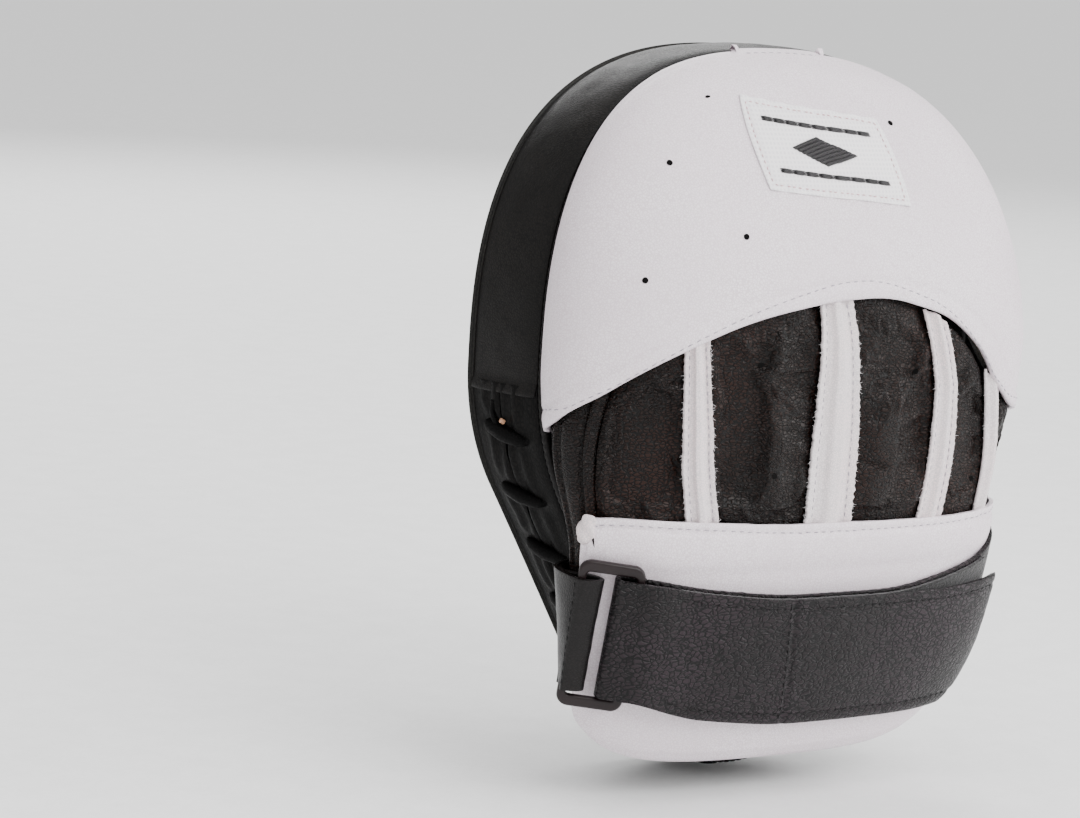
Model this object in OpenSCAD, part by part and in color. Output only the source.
// Curved focus mitt, right hand. Millimetres, +Z up the fingers, the strike face looks along -Y.
// The origin is the middle of the target dot's outer face.

/* [Strike pad] */
// Width of the strike face at its widest
face_width = 216; // [206:1:224]
// Height of the strike face
face_height = 270; // [262:1:280]
// Height of the dot's middle above the lowest point of the face
dot_height = 166; // [160:1:172]
// Height at which the round top turns into the shoulders
shoulder_height = 152; // [148:1:156]
// Squareness of the round top (2 is an ellipse)
top_power = 2.5; // [2.3:0.1:2.7]
// Radius of the shoulders
shoulder_radius = 90; // [84:1:96]
// Lean of the straight sides below the shoulders, degrees
side_taper = 30.4; // [28:0.2:32]
// How far the side seams sit behind the dot
crown = 12; // [10:0.5:14]
// How far the top seam comes forward of the side seams
top_forward = 9; // [6:0.5:10]
// How far the bottom seam comes forward of the side seams
bottom_forward = 8; // [6:0.5:9]
// Depth of the side wall
wall_depth = 32; // [30:0.5:34]
// Width of the wall's back edge as a share of the face
back_share = 0.91; // [0.9:0.005:0.92]
// Bulge of the wall between its two seams
wall_bulge = 5; // [3:0.5:6]
// Diameter of the target dot
dot_diameter = 59; // [56:1:62]

/* [Leather and padding] */
// Thickness of the leather
leather = 1.6; // [1.4:0.1:1.8]
// Thickness of the hood and cuff padding
padding = 5; // [4:0.5:5.5]
// Thickness of the lining cloth
lining = 1; // [0.8:0.1:1.2]
// Radius of the edge piping
piping_radius = 1.6; // [1.4:0.1:1.8]

/* [Hand side] */
// Greatest depth of the hood behind the dot
hood_depth = 98; // [94:1:102]
// Height of the cuff's top edge
cuff_top = 103; // [101:1:105]
// Squareness of the hand-side arch
arch_power = 2.3; // [2.1:0.1:2.5]

/* [Strap and ring] */
// Width of the strap
strap_width = 50; // [47:1:51]
// Thickness of the strap leather
strap_leather = 1.8; // [1.6:0.1:2]
// Width of the ring's window, the way the strap runs
ring_window = 18; // [17:0.5:19]
// Radius of the ring's bars
ring_bar = 1.5; // [1.4:0.05:1.6]

/* [Lace] */
// Radius of the lace
lace_radius = 1.8; // [1.6:0.1:2]
// Number of stitches from seam to seam
lace_stitches = 15; // [13:1:16]

/* [Hidden] */
face_half = face_width / 2;
mid_height = face_height / 2;
gap = 0.4;
rim_gap = 0.06;
foam_inset = 6.5;
seam_angle = 4;
bottom_radius = bottom_circle();

// ---- outline of the strike face ----

function lerp(a, b, t) = a + (b - a) * t;
function clamp(t) = max(0, min(1, t));
function spow(v, p) = sign(v) * pow(abs(v), p);

// radius of the bottom circle that the straight sides touch
function bottom_circle() =
  let (x1 = face_width / 2 - shoulder_radius * (1 - cos(side_taper)))
  let (z1 = shoulder_height - shoulder_radius * sin(side_taper))
  (cos(side_taper) * x1 - sin(side_taper) * z1) / (1 - sin(side_taper));

// half width of the face at height z
function half_at(z) =
  let (top = face_height - shoulder_height)
  let (z1 = shoulder_height - shoulder_radius * sin(side_taper))
  let (z2 = bottom_radius * (1 - sin(side_taper)))
  let (x1 = face_half - shoulder_radius * (1 - cos(side_taper)))
  z > shoulder_height ? face_half * pow(max(0, 1 - pow((z - shoulder_height) / top, top_power)), 1 / top_power)
  : z > z1 ? face_half - shoulder_radius + sqrt(pow(shoulder_radius, 2) - pow(shoulder_height - z, 2))
  : z > z2 ? x1 - tan(side_taper) * (z1 - z)
  : sqrt(max(0, pow(bottom_radius, 2) - pow(bottom_radius - z, 2)));

// right half of the outline from the top to the bottom, as [x, z]
top_points = [for (a = [90, 80, 69, 57, 45, 34, 23, 12, 4, 0])
  [face_half * pow(cos(a), 2 / top_power),
   shoulder_height + (face_height - shoulder_height) * pow(sin(a), 2 / top_power)]];
shoulder_points = [for (a = [seam_angle, 13, 22, side_taper])
  [face_half - shoulder_radius * (1 - cos(a)), shoulder_height - shoulder_radius * sin(a)]];
bottom_points = [for (k = [0 : 6])
  let (a = lerp(side_taper, 90, k / 6))
  [bottom_radius * cos(a), bottom_radius * (1 - sin(a))]];
side_start = shoulder_points[len(shoulder_points) - 1];
side_points = [for (k = [1 : 3]) lerp(side_start, bottom_points[0], k / 4)];
half_points = concat(top_points, shoulder_points, side_points, bottom_points);
half_count = len(half_points);
rim_points = concat(half_points, [for (k = [half_count - 2 : -1 : 1]) [-half_points[k][0], half_points[k][1]]]);
rim_count = len(rim_points);
seam_index = len(top_points);

function rim(i) = rim_points[(i + rim_count) % rim_count];
function rim_normal(i) =
  let (d = rim(i + 1) - rim(i - 1))
  [-d[1], d[0]] / norm(d);
// depth of the face seam and of the wall's back edge at height z
function seam_y(z) =
  crown - (z > mid_height ? top_forward * pow((z - mid_height) / (face_height - mid_height), 2)
                          : bottom_forward * pow((mid_height - z) / mid_height, 2));
function back_y(z) = seam_y(z) + wall_depth;
function back_half(z) = back_share * half_at(z);
// bulge of the wall is greatest round the top
function bulge_at(z) = wall_bulge * lerp(0.2, 1, clamp((z - 150) / 90));

// point of the side wall at outline step i, share v of the depth, moved inward by "inset"
function wall(i, v, inset) =
  let (p = rim(i))
  let (n = rim_normal(i))
  let (out = bulge_at(p[1]) * sin(180 * v) - inset)
  [p[0] * lerp(1, back_share, v) + n[0] * out,
   lerp(seam_y(p[1]), back_y(p[1]), v),
   p[1] + n[1] * out];

// ---- hand side: one family of arches for hood, stalls, cuff and strap ----

function arch_half(z) =
  z < 100 ? lookup(z, [[0, 60], [20, 77], [45, 86], [75, 91], [100, 94]])
  : back_half(z) + lookup(z, [[100, 94 - back_half(100)], [150, 4], [270, 2.5]]);
function arch_crest(z) =
  z < 165 ? lookup(z, [[0, 62], [20, 70], [50, 80], [100, 91], [165, hood_depth]])
  : back_y(z) + (hood_depth - back_y(165))
    * pow(1 - pow(1 - (face_height + 2 - z) / (face_height + 2 - 165), 2), 0.62);
function arch_foot(z) = back_y(z) + 2 * piping_radius + 0.5;
function arch_middle(z) =
  max(arch_foot(z) + 0.3,
    back_y(z) + (arch_crest(z) - back_y(z)) * lookup(z, [[0, 0.5], [60, 0.5], [150, 0.3], [270, 0.2]]));
// point at height z and angle a round the arch, "off" below the skin; a is 0 at the crest, 90 at the
// widest point on the thumb side, 120 where the arch meets the wall's back edge
function arch(z, a, off) =
  let (w = arch_half(z) - off)
  let (c = arch_crest(z) - off)
  let (m = arch_middle(z))
  let (e = (abs(a) - 90) / 30)
  e <= 0 ? [w * spow(sin(a), 2 / arch_power), m + (c - m) * pow(cos(a), 2 / arch_power), z]
  : [sign(a) * lerp(w, back_half(z) - off, e * e), lerp(m, arch_foot(z), e), z];
// lower edge of the hood at angle a
function hood_edge(a) =
  lookup(a, [[-90, 137], [-60, 142], [-46, 152], [-36, 167], [-25, 178], [-8, 185.5], [0, 185],
             [15, 179.5], [24, 175], [39, 165], [63, 148.5], [90, 136]]);
function hood_point(a, w, off, trim) =
  let (low = hood_edge(a) + trim)
  let (top = face_height + 1 - off)
  arch(lerp(low, top, sin(90 * w)), a, off);

// ---- solids from grids ----

// closed solid between two grids of the same size, the outer one seen from outside with its first
// index running to the right and its second downward
module skin(outer, inner) {
  nu = len(outer);
  nv = len(outer[0]);
  all_points = concat([for (r = outer) each r], [for (r = inner) each r]);
  shift = nu * nv;
  quads_out = [for (i = [0 : nu - 2], j = [0 : nv - 2]) each
    [[i * nv + j, (i + 1) * nv + j + 1, i * nv + j + 1], [i * nv + j, (i + 1) * nv + j, (i + 1) * nv + j + 1]]];
  quads_in = [for (f = quads_out) [shift + f[2], shift + f[1], shift + f[0]]];
  border = concat([for (j = [0 : nv - 2]) j], [for (i = [0 : nu - 2]) i * nv + nv - 1],
    [for (j = [nv - 1 : -1 : 1]) (nu - 1) * nv + j], [for (i = [nu - 1 : -1 : 1]) i * nv]);
  nb = len(border);
  sides = [for (k = [0 : nb - 1]) each
    let (p = border[k])
    let (q = border[(k + 1) % nb])
    [[p, q, p + shift], [q, q + shift, p + shift]]];
  polyhedron(points = all_points, faces = concat(quads_out, quads_in, sides));
}

// closed solid between two surfaces made of rings round a middle point
module slab(front, back) {
  n = len(front[1]);
  nr = len(front) - 1;
  points_front = concat(front[0], [for (k = [1 : nr]) each front[k]]);
  points_back = concat(back[0], [for (k = [1 : nr]) each back[k]]);
  shift = len(points_front);
  fan = [for (i = [0 : n - 1]) [0, 1 + i, 1 + (i + 1) % n]];
  bands = [for (k = [0 : nr - 2], i = [0 : n - 1]) each
    let (a = 1 + k * n + i)
    let (b = 1 + k * n + (i + 1) % n)
    [[a, a + n, b + n], [a, b + n, b]]];
  front_faces = concat(fan, bands);
  back_faces = [for (f = front_faces) [shift + f[2], shift + f[1], shift + f[0]]];
  last = 1 + (nr - 1) * n;
  sides = [for (i = [0 : n - 1]) each
    let (p = last + i)
    let (q = last + (i + 1) % n)
    [[q, p, p + shift], [q, p + shift, q + shift]]];
  polyhedron(points = concat(points_front, points_back), faces = concat(front_faces, back_faces, sides));
}

// round tube along a path; "refs" are directions across the path that fix how the rings are turned
module tube(path, refs, r, sides, closed) {
  n = len(path);
  function tangent(i) =
    let (a = closed ? path[(i + n - 1) % n] : path[max(0, i - 1)])
    let (b = closed ? path[(i + 1) % n] : path[min(n - 1, i + 1)])
    (b - a) / norm(b - a);
  ring_points = [for (i = [0 : n - 1]) each
    let (t = tangent(i))
    let (c = cross(t, refs[i]))
    let (s = c / norm(c))
    let (u = cross(s, t))
    [for (k = [0 : sides - 1]) path[i] + r * (cos(360 * k / sides) * s + sin(360 * k / sides) * u)]];
  steps = closed ? n - 1 : n - 2;
  bands = [for (i = [0 : steps], k = [0 : sides - 1]) each
    let (a = i * sides + k)
    let (b = i * sides + (k + 1) % sides)
    let (c = ((i + 1) % n) * sides + k)
    let (d = ((i + 1) % n) * sides + (k + 1) % sides)
    [[a, b, d], [a, d, c]]];
  caps = closed ? [] : [[for (k = [sides - 1 : -1 : 0]) k], [for (k = [0 : sides - 1]) (n - 1) * sides + k]];
  polyhedron(points = ring_points, faces = concat(bands, caps));
}

// drawn with the lowest point of the face at height 0, then moved so the dot's middle is the origin
module placed() {
  translate([0, 0, -dot_height]) children();
}

// ---- strike pad ----

ring_shares = [0, 0.3, 0.55, 0.76, 0.9, 1];
dot_leather = 1.2;
back_depth = crown + wall_depth;

// point of the pad at ring share s and outline step i; v is the share of the depth, "inset" from the wall
function pad_point(s, i, v, inset) =
  let (w = wall(i, v, inset))
  let (swell = s <= 0.3 ? 0 : pow((s - 0.3) / 0.7, 2.2))
  let (front = lerp(dot_leather, seam_y(rim(i)[1]), swell))
  let (back = lerp(back_depth, back_y(rim(i)[1]), s * s))
  [s * w[0], lerp(front, back, v), dot_height + s * (w[2] - dot_height)];
function pad_surface(v, inset) =
  [for (s = ring_shares) s == 0 ? [pad_point(0, 0, v, inset)]
    : [for (i = [0 : rim_count - 1]) pad_point(s, i, v, inset)]];

module pad_layer(v1, v2, inset) {
  slab(pad_surface(v1, inset), pad_surface(v2, inset));
}
module target_dot() {
  color("#eeeaea") rotate([-90, 0, 0]) cylinder(d = dot_diameter, h = dot_leather - 0.05, $fn = 96);
}
module strike_panel() { color("#26262a") placed() pad_layer(0, 0.05, 0); }
module strike_foam_outer() { color("#c9c3a8") placed() pad_layer(0.06, 0.44, foam_inset); }
module strike_foam_mid() { color("#b5b0a0") placed() pad_layer(0.45, 0.8, foam_inset); }
module backing_board() { color("#8d8a86") placed() pad_layer(0.81, 0.92, foam_inset); }
module back_panel() { color("#2b2928") placed() pad_layer(0.94, 1, 2.4); }

// ---- side wall ----

// point of the wall at a fractional outline step
function wall_at(t, v, inset) =
  let (k = floor(t))
  lerp(wall(k, v, inset), wall(k + 1, v, inset), t - k);
module wall_strip(stations, v1, v2, steps) {
  count = len(stations);
  function row(k, inset) =
    [for (j = [0 : steps]) wall_at(stations[count - 1 - k], lerp(v1, v2, j / steps), inset)];
  skin([for (k = [0 : count - 1]) row(k, 0)], [for (k = [0 : count - 1]) row(k, leather)]);
}
flap_stations = concat([seam_index + 0.03], [for (i = [seam_index + 1 : rim_count - seam_index - 1]) i],
  [rim_count - seam_index - 0.03]);
module upper_gusset() {
  color("#222426") placed() wall_strip([for (i = [-seam_index : seam_index]) i], rim_gap, 0.93, 5);
}
module front_lacing_flap() { color("#222426") placed() wall_strip(flap_stations, rim_gap, 0.48, 2); }
module back_lacing_flap() { color("#222426") placed() wall_strip(flap_stations, 0.53, 0.93, 2); }
module back_piping() {
  path = [for (i = [rim_count - 1 : -1 : 0])
    let (w = wall(i, 1, piping_radius)) [w[0], w[1] + piping_radius + 0.2, w[2]]];
  color("#1c1a1a") placed() tube(path, [for (p = path) [0, 1, 0]], piping_radius, 8, true);
}

// ---- lace: one cord, over the joint outside and back under it inside ----

// running length along the flaps against outline step
function step_length(i) = norm(rim(i + 1) - rim(i));
function run_to(i) = i <= seam_index ? 0 : run_to(i - 1) + step_length(i - 1);
run_table = [for (i = [seam_index : rim_count - seam_index]) [run_to(i), i]];
run_total = run_table[len(run_table) - 1][0];
lace_pitch = run_total / (lace_stitches + 0.4);
stitch_slant = 3.5;
front_holes = 0.3;
back_holes = 0.74;
lace_under = leather + lace_radius + 0.3;
lace_over = -lace_radius - 0.5;
// one point of the lace at running length d
function lace_point(d, v, inset) = wall_at(lookup(d, run_table), v, inset);
function lace_ref(d) =
  let (t = lookup(d, run_table))
  let (e = rim(floor(t) + 1) - rim(floor(t)))
  [e[0], 0, e[1]] / norm(e);
lace_steps = [for (k = [0 : lace_stitches - 1]) each
  let (d = lace_pitch * (k + 0.7))
  [[d - stitch_slant, front_holes - 0.03, lace_under], [d - stitch_slant, front_holes, -lace_radius * 0.5],
   [d, (front_holes + back_holes) / 2, lace_over],
   [d + stitch_slant, back_holes, -lace_radius * 0.5], [d + stitch_slant, back_holes + 0.03, lace_under]]];
module lace() {
  color("#141414") placed()
    tube([for (q = lace_steps) lace_point(q[0], q[1], q[2])], [for (q = lace_steps) lace_ref(q[0])],
      lace_radius, 8, false);
}

// ---- hood ----

arch_angles = [for (a = [-120 : 10 : 120]) a];
hood_shares = [for (k = [0 : 7]) k / 7];
module hood_layer(off1, off2, trim, margin) {
  function sheet(off) = [for (a = arch_angles)
    [for (w = hood_shares) hood_point(a * margin, w, off, trim)]];
  skin(sheet(off1), sheet(off2));
}
hood_pad_off = leather + gap + 0.3;
hood_lining_off = hood_pad_off + padding + gap;
module hood() { color("#e6e3e6") placed() hood_layer(0, leather, 0, 1); }
module hood_padding() { color("#c9c3a8") placed() hood_layer(hood_pad_off, hood_pad_off + padding, 10, 0.99); }
module hood_lining() { color("#3a3836") placed() hood_layer(hood_lining_off, hood_lining_off + lining, 10, 0.99); }

label_corners = [[26.5, 254], [-16.5, 247], [17, 222], [-16, 217]];
label_cloth = 0.8;
module label_patch() {
  function label_point(u, w, off) =
    let (top = lerp(label_corners[1], label_corners[0], u))
    let (low = lerp(label_corners[3], label_corners[2], u))
    let (q = lerp(low, top, w))
    arch(q[1], q[0], off);
  function sheet(off) = [for (u = [0 : 8]) [for (w = [0 : 6]) label_point(u / 8, w / 6, off)]];
  color("#f2f0f1") placed() skin(sheet(-0.3 - label_cloth), sheet(-0.3));
}

// ---- finger stalls and the strips over their seams ----

// angle of each lengthways seam at height z, from the thumb side to the little-finger side
function seam_at(k, z) =
  k == 0 ? 119
  : k == 1 ? lookup(z, [[103, 72], [133, 66], [160, 60]])
  : k == 2 ? lookup(z, [[104, 30], [137, 31.5], [166, 34.5]])
  : k == 3 ? lookup(z, [[104, -1], [140, 0], [183, 2]])
  : k == 4 ? lookup(z, [[103, -30], [152, -27], [183, -20.5]])
  : k == 5 ? lookup(z, [[100, -59], [133, -51], [160, -46]])
  : -119;
stall_under = 3.2;
stall_puff = 4;
stall_leather = 1.4;
stall_tuck = 6;
// bottom of the stalls: tucked under the cuff, and running down beside it on the thumb side
function stall_low(k, u) = k == 0 ? lerp(cuff_top - stall_tuck, 66, clamp(u * 2)) : cuff_top - stall_tuck;
function stall_point(k, u, w, under) =
  let (a0 = lerp(seam_at(k + 1, 130), seam_at(k, 130), u))
  let (z = lerp(stall_low(k, u), hood_edge(a0) + stall_tuck - 1, w))
  let (a = lerp(seam_at(k + 1, z) + 0.3, seam_at(k, z) - 0.3, u))
  arch(z, a, under + stall_under + stall_puff * pow(2 * u - 1, 2));
module stall(k, steps) {
  function sheet(under) =
    [for (u = [0 : steps]) [for (w = [0 : 5]) stall_point(k, u / steps, w / 5, under)]];
  color("#231b1a") placed() skin(sheet(0), sheet(stall_leather));
}
module thumb_stall() { stall(0, 7); }
module index_stall() { stall(1, 6); }
module middle_stall() { stall(2, 6); }
module ring_stall() { stall(3, 6); }
module little_stall() { stall(4, 6); }
module side_stall() { stall(5, 7); }

strip_half = 5;
strip_leather = 1.2;
strip_ridge = 1.2;
module finger_strip(k) {
  function strip_point(u, w, off) =
    let (a0 = seam_at(k, 150))
    let (z = lerp(cuff_top + 0.8, hood_edge(a0) - 2.6, w))
    let (half = strip_half / arch_half(z) * 57.3)
    let (puff = stall_puff * pow(1 - 0.5 * abs(u), 2))
    arch(z, seam_at(k, z) + half * u, stall_under + puff * 0.42 - 1.7 - off - strip_ridge * (1 - abs(u)));
  function sheet(off) = [for (u = [-1, -0.5, 0, 0.5, 1]) [for (w = [0 : 5]) strip_point(u, w / 5, off)]];
  color("#e6e3e6") placed() skin(sheet(strip_leather), sheet(0));
}
module strip_index_middle() { finger_strip(2); }
module strip_middle_ring() { finger_strip(3); }
module strip_ring_little() { finger_strip(4); }
module strip_little_side() { finger_strip(5); }

// ---- cuff ----

// thumb-side end of the cuff at height z, and the cuff's rounded bottom edge
function cuff_end(z) = lookup(z, [[0, 118], [45, 118], [60, 100], [75, 84], [104, 75]]);
function cuff_low(a) = 8 + 30 * pow(abs(a) / 120, 3);
module cuff_layer(off1, off2, trim_top, trim_low, trim_end) {
  function cuff_point(u, w, off) =
    let (a0 = lerp(-118, 118, u))
    let (z = lerp(cuff_low(a0) + trim_low, cuff_top - trim_top, w))
    let (a = lerp(-118 + trim_end, cuff_end(z) - trim_end, u))
    arch(z, a, off);
  function sheet(off) = [for (u = [0 : 22]) [for (w = [0 : 6]) cuff_point(u / 22, w / 6, off)]];
  skin(sheet(off1), sheet(off2));
}
cuff_pad_off = leather + gap + 0.5;
cuff_lining_off = cuff_pad_off + padding + gap;
module cuff_panel() { color("#e6e3e6") placed() cuff_layer(0, leather, 0, 0, 0); }
module cuff_padding() { color("#c9c3a8") placed() cuff_layer(cuff_pad_off, cuff_pad_off + padding, 9, 3, 4); }
module cuff_lining() { color("#3a3836") placed() cuff_layer(cuff_lining_off, cuff_lining_off + lining, 9, 3, 4); }

// ---- ring, its tab and the strap ----

strap_lift = 1;
loop_thick = 1.4;
bend_radius = ring_bar + 0.25 + strap_leather / 2;
inner_off = -strap_lift;
bar_off = inner_off - strap_leather / 2 - bend_radius;
outer_off = bar_off - bend_radius + strap_leather / 2;
ring_angle = 50;
ring_height = 61;
ring_turn = [-11.6, -5.7, -27.9];
bar_spacing = ring_window + 2 * ring_bar;
ring_half = strap_width * 0.46 + 1;
end_bar = 4.4;
bend_reach = 5.5;
ring_lift = 0.7;
bar_middle = arch(ring_height, ring_angle, bar_off - ring_lift);
// the ring's own axes: x to the tab, y outward, z along its bars
function turned(v) =
  let (x1 = [v[0], v[1] * cos(ring_turn[0]) - v[2] * sin(ring_turn[0]), v[1] * sin(ring_turn[0]) + v[2] * cos(ring_turn[0])])
  let (x2 = [x1[0] * cos(ring_turn[1]) + x1[2] * sin(ring_turn[1]), x1[1], x1[2] * cos(ring_turn[1]) - x1[0] * sin(ring_turn[1])])
  [x2[0] * cos(ring_turn[2]) - x2[1] * sin(ring_turn[2]), x2[0] * sin(ring_turn[2]) + x2[1] * cos(ring_turn[2]), x2[2]];
module on_ring() {
  placed() translate(bar_middle) rotate(ring_turn) children();
}
module ring() {
  color("#1d1c1d") on_ring() {
    for (x = [0, bar_spacing]) translate([x, 0, -ring_half]) cylinder(r = ring_bar, h = 2 * ring_half, $fn = 32);
    for (side = [0, 1]) mirror([0, 0, side])
      translate([-ring_bar, -ring_bar, ring_half]) cube([bar_spacing + 2 * ring_bar, 2 * ring_bar, end_bar]);
  }
}
bend_half = strap_width * 0.46;
module strap_bend() {
  color("#211d1f") on_ring() translate([0, 0, -bend_half]) linear_extrude(2 * bend_half) {
    translate([bend_reach, 0]) intersection() {
      difference() {
        circle(r = bend_radius + strap_leather / 2, $fn = 48);
        circle(r = bend_radius - strap_leather / 2, $fn = 48);
      }
      translate([0, -10]) square([10, 20]);
    }
    for (side = [-1, 1])
      translate([-2, side * bend_radius - strap_leather / 2]) square([bend_reach + 2.01, strap_leather]);
  }
}
tab_roll = ring_bar + 0.3 + leather;
tab_half = bend_half - 1;
tab_off = -strap_lift - 0.4;
tab_thick = 3;
module ring_tab() {
  function tab_point(u, t, off) =
    let (a = lerp(118, 77, u))
    arch(ring_height + 2 + t * tab_half, a, off);
  function sheet(off) = [for (u = [8 : -1 : 0]) [for (t = [-3 : 3]) tab_point(u / 8, t / 3, off)]];
  color("#222022") {
    difference() {
      union() {
        placed() skin(sheet(tab_off - tab_thick), sheet(tab_off));
        on_ring() translate([bar_spacing, 0, -tab_half]) cylinder(r = tab_roll, h = 2 * tab_half, $fn = 32);
      }
      on_ring() translate([bar_spacing, 0, -tab_half - 8]) cylinder(r = ring_bar + 0.3, h = 2 * tab_half + 16, $fn = 32);
    }
  }
}

// point of the strap: angle a round the arch, t across from -1 (low edge) to 1, "off" below the arch
strap_settle = 16;
strap_end = 2.4;
function inner_height(a) =
  lookup(a, [[-120, 84], [-90, 70], [-58, 59.5], [-22, 50.5], [5, 50.5], [30, 55], [45, 60], [50, 61]]);
function outer_height(a) = lookup(a, [[-75, 52], [-37, 50], [5, 50], [30, 54.5], [45, 60], [50, 61]]);
function strap_point(a, t, off, height) =
  let (near = clamp((a - ring_angle + strap_settle) / strap_settle))
  let (half = lerp(strap_width / 2, bend_half, near))
  let (free = arch(height + t * half, a + t * 1.5 * (1 - near), off))
  let (along = -strap_end - (ring_angle - a) / 57.3 * 88)
  let (tied = bar_middle + turned([along, bar_off - off, t * bend_half]))
  lerp(free, tied, near * near * (3 - 2 * near));
module strap_piece(a1, a2, off1, off2, outer, steps, half_share) {
  function sheet(off) = [for (u = [0 : steps]) [for (t = [-3 : 3])
    let (a = lerp(a1, a2, u / steps))
    strap_point(a, t / 3 * half_share, off, outer ? outer_height(a) : inner_height(a))]];
  skin(sheet(off1), sheet(off2));
}
module strap_inner() {
  color("#211d1f") placed()
    strap_piece(-119, ring_angle, inner_off - strap_leather, inner_off, false, 24, 1);
}
loop_off = inner_off - strap_leather - 0.2;
hook_off = loop_off - loop_thick - 0.3;
hook_outer = outer_off + 0.2;
module loop_patch() {
  color("#161616") placed() strap_piece(-60, 34, loop_off - loop_thick, loop_off, false, 14, 0.94);
}
seam_turn = 4;
module strap_outer_root() {
  color("#241f22") placed()
    strap_piece(seam_turn + 0.5, ring_angle, outer_off - strap_leather, outer_off, true, 8, 1);
}
module hook_patch_root() {
  color("#101010") placed() strap_piece(seam_turn + 1.5, 32, hook_outer, hook_off, true, 5, 0.9);
}
// free end: square above, rounded off below
module tip_piece(a1, a2, off1, off2, half_share) {
  function tip_point(u, t, off) =
    let (end = a2 + 2 * max(0, t) + 16 * pow(max(0, -t), 2.5))
    let (a = lerp(a1, end, u))
    strap_point(a, t * half_share, off, outer_height(a));
  function sheet(off) = [for (u = [10 : -1 : 0]) [for (t = [-4 : 4]) tip_point(u / 10, t / 4, off)]];
  skin(sheet(off1), sheet(off2));
}
module strap_outer_tip() { color("#241f22") placed() tip_piece(seam_turn - 0.5, -72, outer_off - strap_leather, outer_off, 1); }
module hook_patch_tip() { color("#101010") placed() tip_piece(seam_turn - 1.5, -62, hook_outer, hook_off, 0.9); }

target_dot();
strike_panel();
strike_foam_outer();
strike_foam_mid();
backing_board();
back_panel();
upper_gusset();
front_lacing_flap();
back_lacing_flap();
back_piping();
lace();
hood();
hood_padding();
hood_lining();
label_patch();
thumb_stall();
index_stall();
middle_stall();
ring_stall();
little_stall();
side_stall();
strip_index_middle();
strip_middle_ring();
strip_ring_little();
strip_little_side();
cuff_panel();
cuff_padding();
cuff_lining();
strap_inner();
loop_patch();
ring();
ring_tab();
strap_bend();
strap_outer_root();
strap_outer_tip();
hook_patch_root();
hook_patch_tip();
